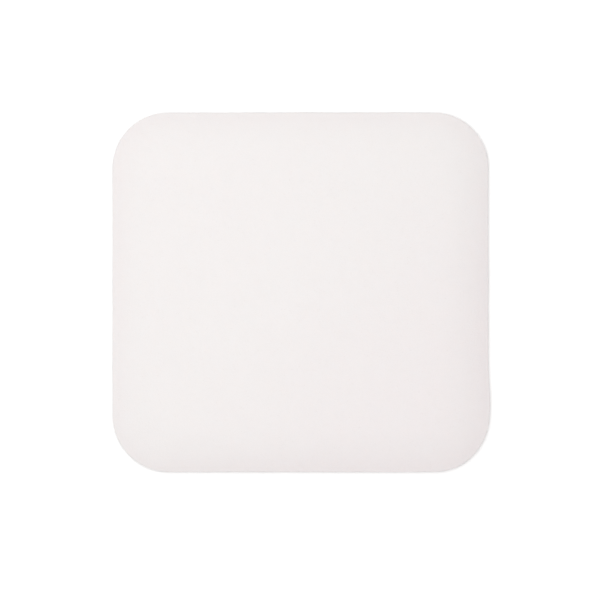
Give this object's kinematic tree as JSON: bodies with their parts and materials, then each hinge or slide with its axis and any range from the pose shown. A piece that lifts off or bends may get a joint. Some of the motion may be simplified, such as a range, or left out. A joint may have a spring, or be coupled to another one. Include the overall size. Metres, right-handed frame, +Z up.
{
  "type": "foam dressing",
  "caption": "Soft absorbent foam pad, nearly square with round corners, with a smooth crowned face that rolls down to a low rim.",
  "frame": {"origin": "middle of the flat wound side, on the surface the pad lies on, in the middle of the pad's full width and length", "axes": "+Z up out of the crowned face, +X across the width (to the right in the picture), +Y along the length (to the top of the picture)"},
  "size_m": [0.1028, 0.098, 0.005],
  "materials": {
    "foam": "matte"
  },
  "bodies": {
    "root": {"foam_pad": "foam"}
  },
  "joints": []
}
